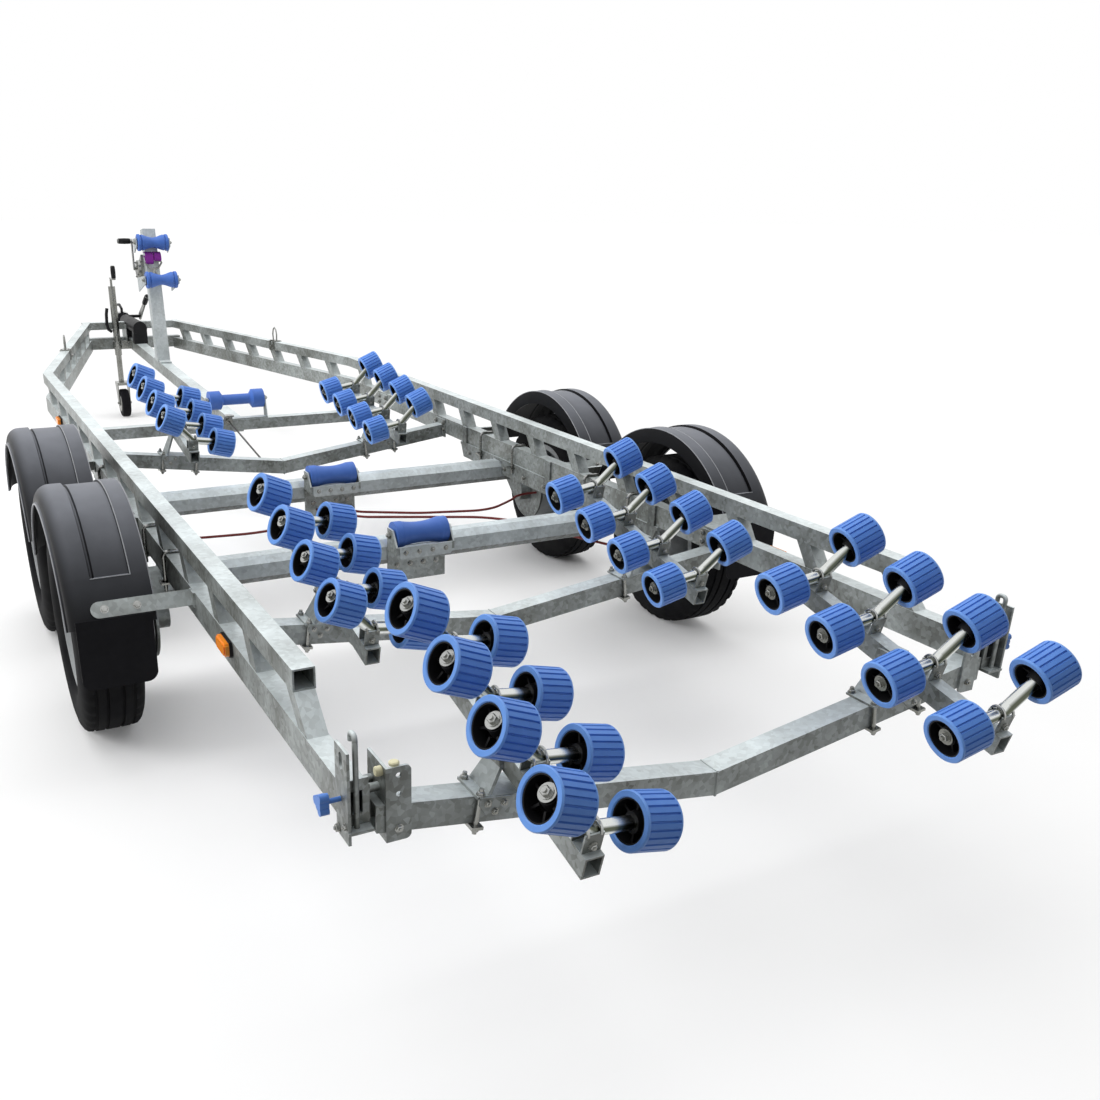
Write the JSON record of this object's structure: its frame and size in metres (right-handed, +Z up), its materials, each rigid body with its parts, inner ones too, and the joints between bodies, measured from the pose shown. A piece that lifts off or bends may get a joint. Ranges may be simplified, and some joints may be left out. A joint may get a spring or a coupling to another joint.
{
  "type": "boat trailer",
  "caption": "Twin-axle galvanised boat trailer with rocking beams of ribbed hull rollers, keel rollers, winch post, overrun coupling and jockey wheel.",
  "frame": {"origin": "on the floor, half way along the trailer and on its centre line", "axes": "+X forward to the coupling, +Y to the left, +Z up"},
  "size_m": [7.6664, 2.42, 1.3327],
  "materials": {
    "amber": "clear amber lens",
    "black_plastic": "satin black moulding",
    "black_rubber": "matt black",
    "blue_rubber": "satin moulded blue",
    "bright_zinc": "bright zinc plate",
    "galvanised": "hot-dip galvanised with a soft spangle",
    "purple_webbing": "woven webbing",
    "red_cable": "satin dark red sheath",
    "tyre": "matt black",
    "wheel_steel": "silver paint"
  },
  "bodies": {
    "frame": {"axle_beams": "galvanised", "axle_seats": "galvanised", "beam_pivots": "galvanised", "brake_cables": "red_cable", "coupling_body": "bright_zinc", "coupling_head": "bright_zinc", "cross_members": "galvanised", "drawbar": "galvanised", "front_rails": "galvanised", "gaiter": "black_rubber", "jockey_tube": "bright_zinc", "keel_cradles": "galvanised", "lamp_holders": "galvanised", "mud_flaps": "black_rubber", "mudguard_brackets": "galvanised", "mudguards": "black_plastic", "side_markers": "amber", "side_rails": "galvanised", "suspension_arms": "galvanised", "winch_frame": "bright_zinc", "winch_post": "galvanised", "wing_knobs": "blue_rubber"},
    "wheel_fore_left": {"wheel_fore_left_rim": "wheel_steel", "wheel_fore_left_tyre": "tyre"},
    "wheel_fore_right": {"wheel_fore_right_rim": "wheel_steel", "wheel_fore_right_tyre": "tyre"},
    "wheel_aft_left": {"wheel_aft_left_rim": "wheel_steel", "wheel_aft_left_tyre": "tyre"},
    "wheel_aft_right": {"wheel_aft_right_rim": "wheel_steel", "wheel_aft_right_tyre": "tyre"},
    "roller_beam_front_left": {"beam_front_left": "galvanised", "bogies_front_left": "bright_zinc", "rollers_front_left": "blue_rubber"},
    "roller_beam_front_right": {"beam_front_right": "galvanised", "bogies_front_right": "bright_zinc", "rollers_front_right": "blue_rubber"},
    "roller_beam_mid_left": {"beam_mid_left": "galvanised", "bogies_mid_left": "bright_zinc", "rollers_mid_left": "blue_rubber"},
    "roller_beam_mid_right": {"beam_mid_right": "galvanised", "bogies_mid_right": "bright_zinc", "rollers_mid_right": "blue_rubber"},
    "roller_beam_rear_left": {"beam_rear_left": "galvanised", "bogies_rear_left": "bright_zinc", "rollers_rear_left": "blue_rubber"},
    "roller_beam_rear_right": {"beam_rear_right": "galvanised", "bogies_rear_right": "bright_zinc", "rollers_rear_right": "blue_rubber"},
    "keel_roller_front": {"keel_roller_front": "blue_rubber"},
    "keel_roller_fore_axle": {"keel_roller_fore_axle": "blue_rubber"},
    "keel_roller_rear_axle": {"keel_roller_rear_axle": "blue_rubber"},
    "bow_roller_upper": {"bow_roller_upper": "blue_rubber"},
    "bow_roller_lower": {"bow_roller_lower": "blue_rubber"},
    "winch": {"winch_drum": "bright_zinc", "winch_strap": "purple_webbing"},
    "handbrake": {"handbrake": "bright_zinc"},
    "jockey_stem": {"jockey_stem": "bright_zinc"},
    "jockey_fork": {"jockey_fork": "bright_zinc"},
    "jockey_wheel": {"jockey_wheel": "black_rubber"}
  },
  "joints": [
    {"name": "wheel_fore_left_spin", "type": "hinge", "parent": "frame", "child": "wheel_fore_left", "pos_m": [-0.98276, 1.098, 0.325], "axis": [0, 1, 0], "continuous": true},
    {"name": "wheel_fore_right_spin", "type": "hinge", "parent": "frame", "child": "wheel_fore_right", "pos_m": [-0.98276, -1.098, 0.325], "axis": [0, 1, 0], "continuous": true},
    {"name": "wheel_aft_left_spin", "type": "hinge", "parent": "frame", "child": "wheel_aft_left", "pos_m": [-1.86864, 1.098, 0.325], "axis": [0, 1, 0], "continuous": true},
    {"name": "wheel_aft_right_spin", "type": "hinge", "parent": "frame", "child": "wheel_aft_right", "pos_m": [-1.86864, -1.098, 0.325], "axis": [0, 1, 0], "continuous": true},
    {"name": "roller_beam_front_left_rock", "type": "hinge", "parent": "frame", "child": "roller_beam_front_left", "pos_m": [-0.28575, 0.477, 0.56983], "axis": [0, 1, 0], "range_deg": [0, 17.4]},
    {"name": "roller_beam_front_right_rock", "type": "hinge", "parent": "frame", "child": "roller_beam_front_right", "pos_m": [-0.28575, -0.477, 0.56983], "axis": [0, 1, 0], "range_deg": [0, 17.4]},
    {"name": "roller_beam_mid_left_rock", "type": "hinge", "parent": "frame", "child": "roller_beam_mid_left", "pos_m": [-2.40176, 0.528, 0.53023], "axis": [0, 1, 0], "range_deg": [0, 26.6]},
    {"name": "roller_beam_mid_right_rock", "type": "hinge", "parent": "frame", "child": "roller_beam_mid_right", "pos_m": [-2.40176, -0.528, 0.53023], "axis": [0, 1, 0], "range_deg": [0, 26.6]},
    {"name": "roller_beam_rear_left_rock", "type": "hinge", "parent": "frame", "child": "roller_beam_rear_left", "pos_m": [-3.44176, 0.532, 0.53784], "axis": [0, 1, 0], "range_deg": [0, 27]},
    {"name": "roller_beam_rear_right_rock", "type": "hinge", "parent": "frame", "child": "roller_beam_rear_right", "pos_m": [-3.44176, -0.532, 0.53784], "axis": [0, 1, 0], "range_deg": [0, 27]},
    {"name": "keel_roller_front_spin", "type": "hinge", "parent": "frame", "child": "keel_roller_front", "pos_m": [0.47825, 0, 0.5525], "axis": [0, 1, 0], "continuous": true},
    {"name": "keel_roller_fore_axle_spin", "type": "hinge", "parent": "frame", "child": "keel_roller_fore_axle", "pos_m": [-0.96376, 0, 0.478], "axis": [0, 1, 0], "continuous": true},
    {"name": "keel_roller_rear_axle_spin", "type": "hinge", "parent": "frame", "child": "keel_roller_rear_axle", "pos_m": [-1.84964, 0, 0.478], "axis": [0, 1, 0], "continuous": true},
    {"name": "bow_roller_upper_spin", "type": "hinge", "parent": "frame", "child": "bow_roller_upper", "pos_m": [2.27086, 0, 1.25174], "axis": [0, 1, 0], "continuous": true},
    {"name": "bow_roller_lower_spin", "type": "hinge", "parent": "frame", "child": "bow_roller_lower", "pos_m": [2.0933, 0, 1.03736], "axis": [0, 1, 0], "continuous": true},
    {"name": "winch_turn", "type": "hinge", "parent": "frame", "child": "winch", "pos_m": [2.47601, 0, 1.08759], "axis": [0, 1, 0], "continuous": true},
    {"name": "handbrake_pull", "type": "hinge", "parent": "frame", "child": "handbrake", "pos_m": [3.38824, -0.082, 0.69], "axis": [0, 1, 0], "range_deg": [-14, 48]},
    {"name": "jockey_raise", "type": "slide", "parent": "frame", "child": "jockey_stem", "axis": [0, 0, 1], "range_m": [0, 0.17]},
    {"name": "jockey_swivel", "type": "hinge", "parent": "jockey_stem", "child": "jockey_fork", "pos_m": [3.19825, 0.132, 0.25], "axis": [0, 0, 1], "continuous": true},
    {"name": "jockey_spin", "type": "hinge", "parent": "jockey_fork", "child": "jockey_wheel", "pos_m": [3.15325, 0.132, 0.1], "axis": [0, 1, 0], "continuous": true}
  ]
}
